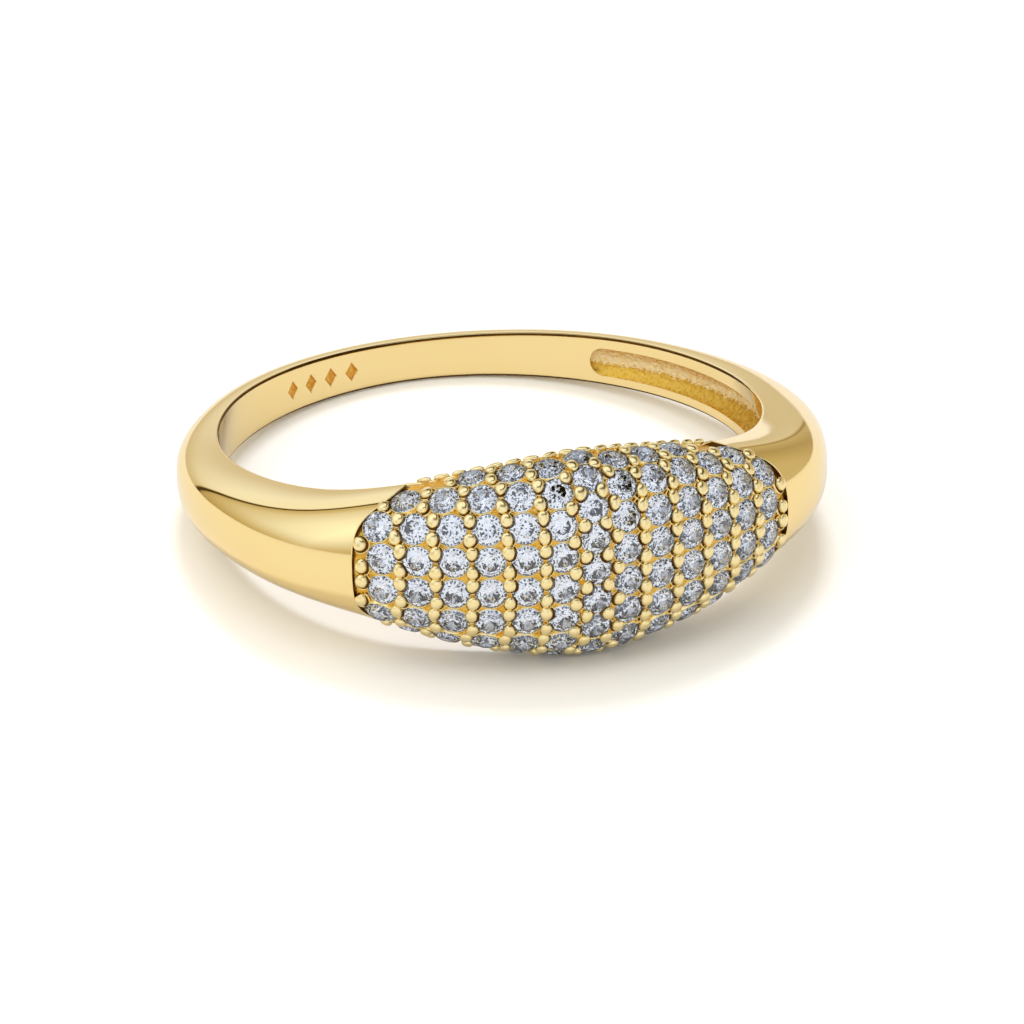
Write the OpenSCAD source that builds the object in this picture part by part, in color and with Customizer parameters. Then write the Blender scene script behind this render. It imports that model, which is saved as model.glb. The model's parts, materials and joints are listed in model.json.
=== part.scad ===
// Statement ring: one cast band that swells into a domed front, pave-set with small round cut stones.
// Units are millimetres. The ring lies on its side on the plane z = 0, with the dome facing -Y.
// Shapes are first drawn about the finger axis, which is Z there, with the dome's middle at -Y.
// An angle round the ring is 0 at the dome's middle, positive towards +X and 180 at the back.

/* [Finger hole] */
// Inside diameter of the ring
hole_d = 17; // [15:0.5:20]

/* [Band] */
// Width of the band at the back, along the finger
back_w = 1.4; // [1.2:0.1:2]
// Thickness of the band at the back
back_t = 0.8; // [0.8:0.05:1.1]
// Width of the dome at its middle, along the finger
dome_w = 6.45; // [6.2:0.05:7]
// Thickness of the dome at its middle
dome_t = 2.15; // [2:0.05:2.6]
// Bevel along both rims of the finger hole
rim_bevel = 0.14; // [0.08:0.02:0.2]

/* [Pave field] */
// Half angle that the stone field covers at mid width
field_angle = 41.5; // [41:0.5:45]
// Depth of the field's bed below the polished surface
bed_drop = 0.14; // [0.1:0.02:0.18]
// Distance from the middle column of stones to the next
first_pitch = 1.06; // [1.03:0.01:1.1]
// Distance from each further column of stones to the next
column_pitch = 1.15; // [1.08:0.01:1.16]
// Distance between the stones of a column
row_pitch = 1.05; // [1.03:0.01:1.06]

/* [Stones] */
// Diameter of a stone at its girdle
stone_d = 0.9; // [0.7:0.02:0.92]
// Height of the crown above the girdle
crown_h = 0.14; // [0.1:0.01:0.18]
// Depth of the pavilion below the girdle
pavilion_h = 0.32; // [0.3:0.01:0.42]
// Gap between a stone and its seat
seat_gap = 0.025; // [0.02:0.005:0.04]

/* [Grains] */
// Diameter of a grain that holds the stones
grain_d = 0.28; // [0.24:0.01:0.3]
// Height of a grain above the bed
grain_h = 0.22; // [0.18:0.01:0.26]

/* [Inside] */
// Width of the cast recess, as a share of the band's width
recess_share = 0.58; // [0.3:0.01:0.6]
// Depth of the cast recess, as a share of the band's thickness
recess_depth = 0.3; // [0.2:0.01:0.35]
// Depth of the four plain punch marks
mark_depth = 0.08; // [0.05:0.01:0.1]

/* [Hidden] */

hole_r = hole_d / 2;
// How far the blank, and the cuts into its inner side, reach into the finger hole before the bore is cut
inner_stock = 0.4;
cut_reach = 0.7;

// The band's form. Each row is a section, and shares run from 0 at the back band to 1 at the dome.
SECTION_ANGLE = 0;
WIDTH_SHARE = 1;
THICKNESS_SHARE = 2;
SQUARENESS = 3;
sections = [
    [0, 1, 1, 2.7],
    [20, 0.84, 1, 2.6],
    [38, 0.57, 1.04, 2.5],
    [55, 0.36, 1.08, 2.75],
    [75, 0.22, 0.8, 2.85],
    [100, 0.1, 0.46, 3.05],
    [130, 0.055, 0.05, 3.3],
    [180, 0, 0, 3.4]
];
last_section = len(sections) - 1;

function section_row(angle, i = 0) =
    i >= last_section - 1 || angle < sections[i + 1][SECTION_ANGLE] ? i : section_row(angle, i + 1);
function column_slope(i, column) =
    i == 0 || i == last_section ? 0
    : (sections[i + 1][column] - sections[i - 1][column])
      / (sections[i + 1][SECTION_ANGLE] - sections[i - 1][SECTION_ANGLE]);

// Smooth curve through one column of the table, level at the dome's middle and at the back
function smooth(angle, column) =
    let (
        a = abs(angle),
        i = section_row(a),
        span = sections[i + 1][SECTION_ANGLE] - sections[i][SECTION_ANGLE],
        t = (a - sections[i][SECTION_ANGLE]) / span,
        t2 = t * t,
        t3 = t2 * t
    )
    (2 * t3 - 3 * t2 + 1) * sections[i][column]
    + (t3 - 2 * t2 + t) * span * column_slope(i, column)
    + (3 * t2 - 2 * t3) * sections[i + 1][column]
    + (t3 - t2) * span * column_slope(i + 1, column);

function band_width(angle) = back_w + (dome_w - back_w) * smooth(angle, WIDTH_SHARE);
function band_thickness(angle) = back_t + (dome_t - back_t) * smooth(angle, THICKNESS_SHARE);

// Point of a section as [z, radius]: turn is -90 at the lower rim, 0 on the crest, 90 at the upper rim
function outline(angle, turn, drop = 0) =
    let (power = 2 / smooth(angle, SQUARENESS))
    [
        sign(turn) * (band_width(angle) / 2 - drop) * pow(abs(sin(turn)), power),
        hole_r + (band_thickness(angle) - drop) * pow(abs(cos(turn)), power)
    ];
function around(angle, z_radius) =
    [z_radius[1] * sin(angle), -z_radius[1] * cos(angle), z_radius[0]];
function skin(angle, turn) = around(angle, outline(angle, turn));

// Places on the outer surface, given in millimetres along it: x round the ring, s from mid width
table_step = 3;
function arc_table(angle, turn = 0, length = 0) =
    turn > 90 ? []
    : let (
        here = outline(angle, turn),
        next = outline(angle, min(90, turn + table_step))
    )
    concat([[length, turn]], arc_table(angle, turn + table_step, length + norm(next - here)));
function half_length(angle) = let (arcs = arc_table(angle)) arcs[len(arcs) - 1][0];
function turn_at(angle, s) = sign(s) * lookup(abs(s), arc_table(angle));
function angle_at(x, s, passes = 3, angle = 0) =
    passes == 0 ? angle
    : let (radius = outline(angle, turn_at(angle, s))[1])
    angle_at(x, s, passes - 1, x / radius * 180 / PI);

// A place with its frame: [point, direction round the ring, direction across, outward normal]
function unit(v) = v / norm(v);
function frame_at(x, s) =
    let (
        angle = angle_at(x, s),
        turn = turn_at(angle, s),
        near = max(-89, min(89, turn)),
        step = 0.3,
        round_ring = unit(skin(angle + step, near) - skin(angle - step, near)),
        rising = skin(angle, near + step) - skin(angle, near - step),
        normal = unit(cross(round_ring, rising))
    )
    [skin(angle, turn), round_ring, cross(normal, round_ring), normal];
function frame_point(frame, p) = frame[0] + p[0] * frame[1] + p[1] * frame[2] + p[2] * frame[3];

// Stone columns: rows of stones in the middle column and in the columns to either side of it
column_rows = [9, 8, 8, 8, 6, 6, 4];
last_column = len(column_rows) - 1;
// Nearest that a stone's middle may come to the rim of the finger hole, along the surface
rim_margin = 0.46;
function column_x(k) = k == 0 ? 0 : first_pitch + (k - 1) * column_pitch;
function rows_reach(k) = (column_rows[k] - 1) / 2;
function column_row_pitch(k) =
    min(row_pitch, (half_length(angle_at(column_x(k), 0)) - rim_margin) / rows_reach(k));
stone_places = [
    for (side = [-1, 1], k = [side < 0 ? 1 : 0:last_column], j = [0:column_rows[k] - 1])
        [side * column_x(k), (j - rows_reach(k)) * column_row_pitch(k)]
];

// Grains: pairs at each crossing of the straight gaps, single ones where the middle columns interlock
grain_spread = 0.25;
end_grain_x = 0.68;
end_grains = [0.25, 0.95];
lean_step = 0.1;
// How far a line of equal x runs sideways along the surface for each millimetre of s
function lean(x, s) =
    (angle_at(x, s + lean_step) - angle_at(x, s - lean_step)) / (2 * lean_step)
    * PI / 180 * outline(angle_at(x, s), turn_at(angle_at(x, s), s))[1];
function straight_gap_grains(k) =
    let (
        x = (column_x(k) + column_x(k + 1)) / 2,
        crossings = max(column_rows[k], column_rows[k + 1]) / 2,
        ends_level = column_rows[k] == column_rows[k + 1],
        pitch = (column_row_pitch(k) + column_row_pitch(k + 1)) / 2
    )
    [
        for (j = [-crossings:crossings], way = [-1, 1])
            let (s = j * pitch + way * grain_spread)
                if (abs(j) < crossings || (ends_level && sign(j) != way))
                    [x + way * (pitch / 2 - grain_spread) * lean(x, s), s]
    ];
middle_gap_grains = [
    for (j = [-7:7])
        let (even = j % 2 == 0)
        [first_pitch * (even ? 2 / 3 : 1 / 3), j / 2 * column_row_pitch(even ? 1 : 0)]
];
end_gap_grains = [
    for (s = end_grains, way = [-1, 1]) [column_x(last_column) + end_grain_x, way * s]
];
half_grains = concat(
    middle_gap_grains,
    [for (k = [1:last_column - 1]) each straight_gap_grains(k)],
    end_gap_grains
);
grain_places = [for (side = [-1, 1], g = half_grains) [side * g[0], g[1]]];

// Turned shapes along a frame's normal. Profile rows are [radius, height] from the root upwards.
// The root is a point, and the top is a point or a flat ring.
facets = 8;
grain_sides = 6;
function top_pointed(profile) = profile[len(profile) - 1][0] == 0;
function full_rings(profile) = len(profile) - (top_pointed(profile) ? 2 : 1);
function point_count(profile, sides) = full_rings(profile) * sides + (top_pointed(profile) ? 2 : 1);
function turned_points(frame, profile, sides) = [
    for (row = profile)
        each row[0] == 0 ? [frame_point(frame, [0, 0, row[1]])] : [
            for (i = [0:sides - 1])
                let (a = (i + 0.5) * 360 / sides)
                frame_point(frame, [row[0] * cos(a), row[0] * sin(a), row[1]])
        ]
];
function turned_faces(profile, sides, root) =
    let (
        top_ring = root + 1 + (full_rings(profile) - 1) * sides,
        tip = top_ring + sides
    )
    concat(
        [for (i = [0:sides - 1]) [root, root + 1 + i, root + 1 + (i + 1) % sides]],
        [
            for (j = [0:1:full_rings(profile) - 2], i = [0:sides - 1])
                let (low = root + 1 + j * sides, next = (i + 1) % sides)
                [low + i, low + sides + i, low + sides + next, low + next]
        ],
        top_pointed(profile)
            ? [for (i = [0:sides - 1]) [tip, top_ring + (i + 1) % sides, top_ring + i]]
            : [[for (i = [sides - 1:-1:0]) top_ring + i]]
    );
module turned_field(places, profile, sides) {
    count = point_count(profile, sides);
    polyhedron(
        points = [for (p = places) each turned_points(frame_at(p[0], p[1]), profile, sides)],
        faces = [for (n = [0:len(places) - 1]) each turned_faces(profile, sides, n * count)]
    );
}

// Stones: an octagonal table, eight crown facets, a thin girdle and eight pavilion facets
girdle_lift = 0.04 - bed_drop;
girdle_t = 0.03;
table_share = 0.58;
stone_profile = [
    [0, girdle_lift - pavilion_h],
    [stone_d / 2, girdle_lift - girdle_t],
    [stone_d / 2, girdle_lift],
    [stone_d / 2 * table_share, girdle_lift + crown_h]
];
seat_profile = [
    [0, girdle_lift - pavilion_h - 2 * seat_gap],
    [stone_d / 2 + seat_gap, girdle_lift - girdle_t],
    [stone_d / 2 + seat_gap, girdle_lift + crown_h]
];
grain_root = 0.6;
grain_profile = [
    [0, -bed_drop - grain_root],
    [grain_d / 2, grain_h * 0.6 - bed_drop],
    [0, grain_h - bed_drop]
];
module stones() turned_field(stone_places, stone_profile, facets);
module seats() turned_field(stone_places, seat_profile, facets);
module grains() turned_field(grain_places, grain_profile, grain_sides);

// The field's border runs nearer the middle at its two edges than at mid width
border_draw = 6;
border_squareness = 5;
border_reach = 22;
front_step = 6.6;
back_step = 7.5;
crest_step = 14;
outline_turns = [for (turn = [-84:crest_step:84]) turn];
half_lines = concat(
    [for (a = [0:front_step:field_angle - front_step / 2]) [a, bed_drop]],
    [[field_angle - 0.3, bed_drop], [field_angle, 0]],
    [for (a = [field_angle + front_step:front_step:88]) [a, 0]],
    [for (a = [90:back_step:172.5]) [a, 0]]
);
section_lines = concat(
    [for (i = [len(half_lines) - 1:-1:1]) [-half_lines[i][0], half_lines[i][1]]],
    half_lines,
    [[180, 0]]
);
function drawn_angle(angle, turn) =
    angle - sign(angle) * border_draw * pow(abs(sin(turn)), border_squareness)
    * max(0, 1 - abs(abs(angle) - field_angle) / border_reach);
function blank_section(line) =
    let (
        angle = line[0],
        drop = line[1],
        rim_angle = drawn_angle(angle, 90),
        rim_z = band_width(rim_angle) / 2 - drop,
        inner_z = rim_z - rim_bevel - inner_stock
    )
    concat(
        [around(rim_angle, [-inner_z, hole_r - inner_stock])],
        [around(rim_angle, [-rim_z, hole_r + rim_bevel])],
        [
            for (turn = outline_turns)
                let (a = drawn_angle(angle, turn)) around(a, outline(a, turn, drop))
        ],
        [around(rim_angle, [rim_z, hole_r + rim_bevel])],
        [around(rim_angle, [inner_z, hole_r - inner_stock])]
    );

// A closed loop of sections, or a run of sections with its two ends capped
module loft(rows, closed) {
    sides = len(rows[0]);
    last = len(rows) - 1;
    caps = closed ? [] : [
        [for (i = [sides - 1:-1:0]) i],
        [for (i = [0:sides - 1]) last * sides + i]
    ];
    polyhedron(
        points = [for (row = rows) each row],
        faces = concat(
            [
                for (j = [0:closed ? last : last - 1], i = [0:sides - 1])
                    let (a = j * sides, b = (j + 1) % len(rows) * sides, next = (i + 1) % sides)
                    each [[a + i, a + next, b + next], [a + i, b + next, b + i]]
            ],
            caps
        )
    );
}
module blank() loft([for (line = section_lines) blank_section(line)], true);

// Cast recess inside the band: it runs under the dome and stops sooner on one side than on the other
recess_from = -60;
recess_to = 141;
recess_rise = 0.03;
recess_floor_share = 0.8;
recess_step = 9.2;
recess_end_angles = [0.06, 0.35, 0.9, 1.8, 3];
recess_angles = concat(
    [for (a = recess_end_angles) recess_from + a],
    [for (a = [recess_from + recess_step:recess_step:recess_to - recess_step]) a],
    [for (i = [len(recess_end_angles) - 1:-1:0]) recess_to - recess_end_angles[i]]
);
function recess_half(angle) =
    let (
        half = band_width(angle) * recess_share / 2,
        inward = min(angle - recess_from, recess_to - angle) * PI / 180 * hole_r,
        run = max(0, 1 - inward / half)
    )
    half * sqrt(1 - run * run);
function recess_section(angle) =
    let (
        half = recess_half(angle),
        depth = band_thickness(angle) * recess_depth,
        floor_half = half * recess_floor_share,
        mouth_half = half + (half - floor_half) * cut_reach / depth
    )
    [
        around(angle, [recess_rise - mouth_half, hole_r - cut_reach]),
        around(angle, [recess_rise - floor_half, hole_r + depth]),
        around(angle, [recess_rise + floor_half, hole_r + depth]),
        around(angle, [recess_rise + mouth_half, hole_r - cut_reach])
    ];
module recess() loft([for (a = recess_angles) recess_section(a)], false);

// Four plain lozenges punched into the inside of the band
mark_count = 4;
mark_middle = -158.5;
mark_pitch = 0.8;
mark_w = 0.46;
mark_h = 0.64;
module punch_marks() {
    for (i = [0:mark_count - 1]) {
        turn = mark_middle + (i - (mark_count - 1) / 2) * mark_pitch / hole_r * 180 / PI;
        rotate([0, 0, turn])
            translate([0, -hole_r + cut_reach, 0])
                rotate([90, 0, 0])
                    scale([mark_w, mark_h, 1])
                        cylinder(d = 1, h = cut_reach + mark_depth, $fn = 4);
    }
}

// How the ring rests by itself: tilted about X until the underside of the dome and the back band touch down
function tilted(p, tilt) =
    [p[0], p[1] * cos(tilt) + p[2] * sin(tilt), p[2] * cos(tilt) - p[1] * sin(tilt)];
outer_points = [
    for (line = section_lines) each blank_section(line),
    for (g = grain_places) each turned_points(frame_at(g[0], g[1]), grain_profile, grain_sides),
    for (s = stone_places) each turned_points(frame_at(s[0], s[1]), stone_profile, facets)
];
function lowest_of(points) = let (z = min([for (p = points) p[2]])) [for (p = points) if (p[2] == z) p][0];
function settled(tilt, passes) =
    passes == 0 ? tilt
    : let (
        points = [for (p = outer_points) tilted(p, tilt)],
        front = lowest_of([for (p = points) if (p[1] < 0) p]),
        rear = lowest_of([for (p = points) if (p[1] > 0) p])
    )
    settled(tilt + atan2(rear[2] - front[2], rear[1] - front[1]), passes - 1);
rest_tilt = settled(0, 4);
rest_points = [for (p = outer_points) tilted(p, rest_tilt)];
lowest = min([for (p = rest_points) p[2]]);
front_y = min([for (p = rest_points) p[1]]);
rear_y = max([for (p = rest_points) p[1]]);
module at_rest() {
    translate([0, -(front_y + rear_y) / 2, -lowest])
        rotate([-rest_tilt, 0, 0])
            children();
}

seam_angle = 184;
module ring_body() {
    color([0.93, 0.74, 0.32])
        at_rest()
            difference() {
                // One mesh of everything cast, so that the bore cut last is a true cylinder
                resize([0, 0, 0])
                    difference() {
                        union() {
                            difference() {
                                blank();
                                seats();
                            }
                            grains();
                        }
                        recess();
                        punch_marks();
                    }
                // The bore's seam is turned to the back of the band
                rotate([0, 0, seam_angle - 90])
                    cylinder(r = hole_r, h = 2 * dome_w, center = true, $fn = 180);
            }
}

module pave_stones() {
    color([0.93, 0.95, 0.98])
        at_rest()
            stones();
}

ring_body();
pave_stones();
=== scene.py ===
# Domed statement ring, lying on its side: a polished gold band, its front pave-set with small cut stones.
# Shapes are worked out in millimetres about the finger axis, then put in metres into the shared frame.
# An angle round the ring is 0 at the dome's middle, positive towards +X and 180 at the back.
import json
import math

import bpy
import numpy as np
from mathutils import Matrix, Vector
from mathutils import noise as pattern


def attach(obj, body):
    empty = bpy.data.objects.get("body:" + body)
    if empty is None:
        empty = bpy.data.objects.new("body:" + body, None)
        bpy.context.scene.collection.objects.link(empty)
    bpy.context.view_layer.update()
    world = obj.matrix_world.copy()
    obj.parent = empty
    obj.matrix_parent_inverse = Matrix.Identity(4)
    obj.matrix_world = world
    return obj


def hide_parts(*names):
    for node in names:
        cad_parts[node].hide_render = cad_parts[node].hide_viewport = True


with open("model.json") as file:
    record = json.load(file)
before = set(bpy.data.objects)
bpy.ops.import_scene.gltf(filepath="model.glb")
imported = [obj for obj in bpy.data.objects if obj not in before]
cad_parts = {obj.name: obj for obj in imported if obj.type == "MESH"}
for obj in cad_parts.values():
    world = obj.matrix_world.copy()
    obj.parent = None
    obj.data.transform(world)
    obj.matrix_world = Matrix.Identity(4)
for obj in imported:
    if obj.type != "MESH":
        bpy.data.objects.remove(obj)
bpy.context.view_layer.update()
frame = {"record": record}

MM = 0.001
hole = frame["record"]["mounts"][0]
hole_r = hole["dims"]["r_mm"]
ring_middle = np.array(hole["pos_m"])
rest_tilt = math.atan2(hole["axis"][1], hole["axis"][2])

# Driving sizes, in millimetres and degrees, as in the CAD; only the spacing of stones and grains and the
# recess's place and width follow the photograph more closely
back_w, back_t = 1.4, 0.8
dome_w, dome_t = 6.45, 2.15
field_angle = 41.5
border_draw, border_reach, border_squareness = 6.0, 22.0, 5.0
bed_drop = 0.14
first_pitch, column_pitch, row_pitch = 1.06, 1.14, 1.04
rim_margin = 0.46
column_rows = [9, 8, 8, 8, 6, 6, 4]
grain_spread = 0.215
end_grain_x, end_grains = 0.68, (0.25, 0.95)
recess_from, recess_to, recess_rise = -60.0, 140.2, -0.03
recess_share, recess_depth = 0.57, 0.3
mark_count, mark_middle, mark_pitch = 4, -158.5, 0.8
mark_w, mark_h, mark_depth = 0.46, 0.64, 0.08

# Sizes of what only the picture shows
rim_round = 0.1
lip_round, lip_foot, lip_depth = 0.03, 0.024, 0.2
ridge_round, ridge_wide, ridge_drop = 0.04, 0.1, 0.05
stone_r, girdle_lift = 0.482, -0.1
seat_edge = 0.03
bead_wide, bead_long, bead_tall, bead_high = 0.2, 0.235, 0.15, 0.1
# Width of the painted shade beside each grain, the level it and its lip sit at, and the lip's width
crescent_wide, crescent_level, bead_lip = 0.066, -0.08, 0.04
rim_grain_wide, rim_grain_long, rim_grain_tall, rim_grain_high = 0.25, 0.12, 0.12, 0.085
rim_grain_pitch, rim_grain_inset = 0.55, 0.12

# Proportions of a cut stone, in stone radii
stone_table, stone_crown, stone_girdle, stone_deep = 0.56, 0.31, 0.05, 0.84
dash_lift = 0.016

# Each row of painted reflection dashes on a crown: how many places, the share that shows, and the bounds of
# its two ends
DASH_ROWS = [(22, 1.0, (0.8, 0.87), (0.93, 0.965)), (13, 0.45, (0.62, 0.68), (0.71, 0.77))]

# Rows of the band's grid: its outer surface, each half of the bore, the rim's rounding, the painted dark
# reflection
outer_rows, bore_rows_count, rim_rows_count, dark_rows = 71, 9, 8, 4

# Where the painted dark reflection along a rim starts to thin and where it ends, in degrees from the back
DARK_LINE_ENDS = (80, 100)

# Lines of the band's grid between which the bore's wall is a piece of its own, in degrees
marked_lines = (191.0, 212.0)

# Each row is a section: angle, share of the extra width, share of the extra thickness, squareness
SECTIONS = np.array([
    [0, 1, 1, 2.7],
    [20, 0.84, 1, 2.6],
    [38, 0.57, 1.04, 2.5],
    [55, 0.36, 1.08, 2.75],
    [75, 0.22, 0.8, 2.85],
    [100, 0.1, 0.46, 3.05],
    [130, 0.055, 0.05, 3.3],
    [180, 0, 0, 3.4],
])


def signed_angle(angle):
    return (angle + 180) % 360 - 180


def smooth(angle, column):
    """Smooth curve through one column of the table of sections."""
    a = np.abs(signed_angle(np.asarray(angle, float)))
    knots = SECTIONS[:, 0]
    values = SECTIONS[:, column]
    slopes = np.zeros(len(knots))
    slopes[1:-1] = (values[2:] - values[:-2]) / (knots[2:] - knots[:-2])
    i = np.clip(np.searchsorted(knots, a, side="right") - 1, 0, len(knots) - 2)
    span = knots[i + 1] - knots[i]
    t = (a - knots[i]) / span
    rise = (2 * t**3 - 3 * t**2 + 1) * values[i] + (3 * t**2 - 2 * t**3) * values[i + 1]
    bend = (t**3 - 2 * t**2 + t) * slopes[i] + (t**3 - t**2) * slopes[i + 1]
    return rise + bend * span


def band_width(angle):
    return back_w + (dome_w - back_w) * smooth(angle, 1)


def band_thickness(angle):
    return back_t + (dome_t - back_t) * smooth(angle, 2)


def reach_of(angle, lean):
    """How far a section of the band's squareness reaches in a direction, against a circle."""
    power = smooth(angle, 3)
    return (np.abs(np.sin(lean)) ** power + np.abs(np.cos(lean)) ** power) ** (-1 / power)


def outline(angle, lean, drop=0.0):
    """A section's outer line as z and radius: lean runs from -90 degrees at one rim to 90 at the other."""
    reach = reach_of(angle, lean)
    z = (band_width(angle) / 2 - drop) * np.sin(lean) * reach
    r = hole_r + (band_thickness(angle) - drop) * np.cos(lean) * reach
    return z, r


def around(angle, z, r):
    """Points at angles round the finger axis, from their z and radius."""
    a = np.radians(angle)
    return np.stack([r * np.sin(a), -r * np.cos(a), z + 0 * a], -1)


def skin(angle, lean, drop=0.0):
    """Points of the outer surface, or as far below it as drop says."""
    z, r = outline(angle, lean, drop)
    return around(angle, z, r)


def drawn(angle, lean):
    """The true angle of a grid line that follows the field's border near it."""
    signed = signed_angle(angle)
    share = np.abs(np.sin(lean)) * reach_of(angle, lean)
    sideways = share ** (border_squareness / 2 * smooth(angle, 3))
    near = np.maximum(0, 1 - np.abs(np.abs(signed) - field_angle) / border_reach)
    return angle - np.sign(signed) * border_draw * sideways * near


def unit(v):
    return v / np.linalg.norm(v, axis=-1, keepdims=True)


most_lean, angle_step, lean_step = 1.54, 0.2, 0.005


def normals_at(angle, lean):
    """Outward normal of the outer surface, and the direction round the ring."""
    near = np.clip(lean, -most_lean, most_lean)
    along = skin(angle + angle_step, near) - skin(angle - angle_step, near)
    rising = skin(angle, near + lean_step) - skin(angle, near - lean_step)
    return unit(np.cross(along, rising)), unit(along)


LEANS = np.radians(np.linspace(0, 90, 361))


def arc_lengths(angle):
    """Length along a section's outer line from mid width to each of the leans."""
    z, r = outline(angle, LEANS)
    return np.concatenate([[0], np.cumsum(np.hypot(np.diff(z), np.diff(r)))])


def place(x, s):
    """Angle and lean of a place given in millimetres along the surface: x round it, s from mid width."""
    angle = 0.0
    for _ in range(5):
        lean = math.copysign(float(np.interp(abs(s), arc_lengths(angle), LEANS)), s)
        angle = math.degrees(x / float(outline(angle, lean)[1]))
    return angle, lean


def frame_at(x, s):
    """A place with its frame: point, direction round the ring, direction across, outward normal."""
    angle, lean = place(x, s)
    normal, along = normals_at(np.array(angle), np.array(lean))
    return skin(np.array(angle), np.array(lean)), along, np.cross(normal, along), normal


def column_x(k):
    """Distance of a column of stones from the middle one, along the surface."""
    return 0.0 if k == 0 else first_pitch + (k - 1) * column_pitch


def column_row_pitch(k):
    """Spacing of the stones in a column, closer where the band is too narrow for the full pitch."""
    half = arc_lengths(place(column_x(k), 0.0)[0])[-1]
    return min(row_pitch, (half - rim_margin) / ((column_rows[k] - 1) / 2))


def stone_places():
    """Places of all stones, as distances along the surface."""
    places = []
    for side in (-1, 1):
        for k in range(1 if side < 0 else 0, len(column_rows)):
            pitch = column_row_pitch(k)
            middle = (column_rows[k] - 1) / 2
            places += [(side * column_x(k), (j - middle) * pitch) for j in range(column_rows[k])]
    return places


def sideways_run(x, s, step=0.1):
    """How far a line of equal x runs sideways along the surface for each millimetre of s."""
    turn = math.radians(place(x, s + step)[0] - place(x, s - step)[0]) / (2 * step)
    return turn * float(outline(*place(x, s))[1])


def grain_places():
    """One side's grains: single ones by the middle column, pairs at the crossings of the other gaps."""
    rows = [column_row_pitch(k) for k in range(len(column_rows))]
    places = []
    for j in range(-7, 8):
        even = j % 2 == 0
        places.append((first_pitch * (2 if even else 1) / 3, j / 2 * rows[1 if even else 0]))
    for k in range(1, len(column_rows) - 1):
        x = (column_x(k) + column_x(k + 1)) / 2
        pitch = (rows[k] + rows[k + 1]) / 2
        crossings = max(column_rows[k], column_rows[k + 1]) // 2
        level = column_rows[k] == column_rows[k + 1]
        for j in range(-crossings, crossings + 1):
            for way in (-1, 1):
                if abs(j) < crossings or (level and np.sign(j) != way):
                    s = j * pitch + way * grain_spread
                    shift = way * (pitch / 2 - grain_spread) * sideways_run(x, s)
                    places.append((x + shift, s))
    last = column_x(len(column_rows) - 1) + end_grain_x
    places += [(last, way * s) for s in end_grains for way in (-1, 1)]
    return places


def to_frame(points):
    """Points about the finger axis, in millimetres, as metres in the shared frame, where it is tilted."""
    c, s = math.cos(rest_tilt), math.sin(rest_tilt)
    x, y, z = points[..., 0], points[..., 1], points[..., 2]
    return np.stack([x, y * c + z * s, z * c - y * s], -1) * MM + ring_middle


def lumps(points, size, seed=0.0):
    """Even noise from -1 to 1 at each point, with bumps of about the given size."""
    shift = Vector((seed, 3.1 * seed, -1.7 * seed))
    return np.array([pattern.noise(Vector(p) / size + shift) for p in points.reshape(-1, 3)])


def grid_faces(lines, rows, first=0):
    """Four-cornered faces of a grid of lines with that many rows each."""
    i = np.arange(lines - 1)[:, None] * rows + np.arange(rows - 1)[None, :] + first
    return np.stack([i, i + rows, i + rows + 1, i + 1], -1).reshape(-1, 4)


def make_mesh(name, points, faces, material, smooth_faces=True):
    """New piece from points about the finger axis, in millimetres."""
    mesh = bpy.data.meshes.new(name)
    mesh.from_pydata(to_frame(points.reshape(-1, 3)).tolist(), [], [list(map(int, f)) for f in faces])
    mesh.validate()
    mesh.materials.append(material)
    mesh.polygons.foreach_set("use_smooth", [smooth_faces] * len(mesh.polygons))
    piece = bpy.data.objects.new(name, mesh)
    bpy.context.collection.objects.link(piece)
    return piece


def add_second_material(piece, material, chosen):
    """Gives the chosen faces of a piece another material."""
    piece.data.materials.append(material)
    piece.data.polygons.foreach_set("material_index", chosen.astype(int))


# Materials

def new_material(name):
    """Empty node material with its tree and its shader."""
    material = bpy.data.materials.new(name)
    material.use_nodes = True
    shader = material.node_tree.nodes["Principled BSDF"]
    return material, material.node_tree, shader


def add_noise(tree, scale, detail=3.0):
    """Noise over the object's own coordinates, in metres."""
    place_node = tree.nodes.new("ShaderNodeTexCoord")
    node = tree.nodes.new("ShaderNodeTexNoise")
    node.inputs["Scale"].default_value = scale
    node.inputs["Detail"].default_value = detail
    tree.links.new(place_node.outputs["Object"], node.inputs["Vector"])
    return node.outputs["Fac"]


# Noise values between which a colour or a number changes
NOISE_SPAN = (0.3, 0.7)


def add_ramp(tree, value, low, high):
    """Colour that goes from low to high with a noise."""
    ramp = tree.nodes.new("ShaderNodeValToRGB")
    ramp.color_ramp.elements[0].position = NOISE_SPAN[0]
    ramp.color_ramp.elements[1].position = NOISE_SPAN[1]
    ramp.color_ramp.elements[0].color = (*low, 1)
    ramp.color_ramp.elements[1].color = (*high, 1)
    tree.links.new(value, ramp.inputs["Fac"])
    return ramp.outputs["Color"]


def add_range(tree, value, low, high):
    """Number that goes from low to high with a noise."""
    node = tree.nodes.new("ShaderNodeMapRange")
    node.inputs["From Min"].default_value = NOISE_SPAN[0]
    node.inputs["From Max"].default_value = NOISE_SPAN[1]
    node.inputs["To Min"].default_value = low
    node.inputs["To Max"].default_value = high
    tree.links.new(value, node.inputs["Value"])
    return node.outputs["Result"]


def mix_colours(tree, share, first, second):
    """Mix of two colours, each a value or an output of another node."""
    node = tree.nodes.new("ShaderNodeMix")
    node.data_type = "RGBA"
    tree.links.new(share, node.inputs[0])
    for socket, value in ((node.inputs[6], first), (node.inputs[7], second)):
        if isinstance(value, tuple):
            socket.default_value = value
        else:
            tree.links.new(value, socket)
    return node.outputs[2]


def add_bump(tree, shader, value, depth, strength):
    node = tree.nodes.new("ShaderNodeBump")
    node.inputs["Distance"].default_value = depth
    node.inputs["Strength"].default_value = strength
    tree.links.new(value, node.inputs["Height"])
    tree.links.new(node.outputs["Normal"], shader.inputs["Normal"])


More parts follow.
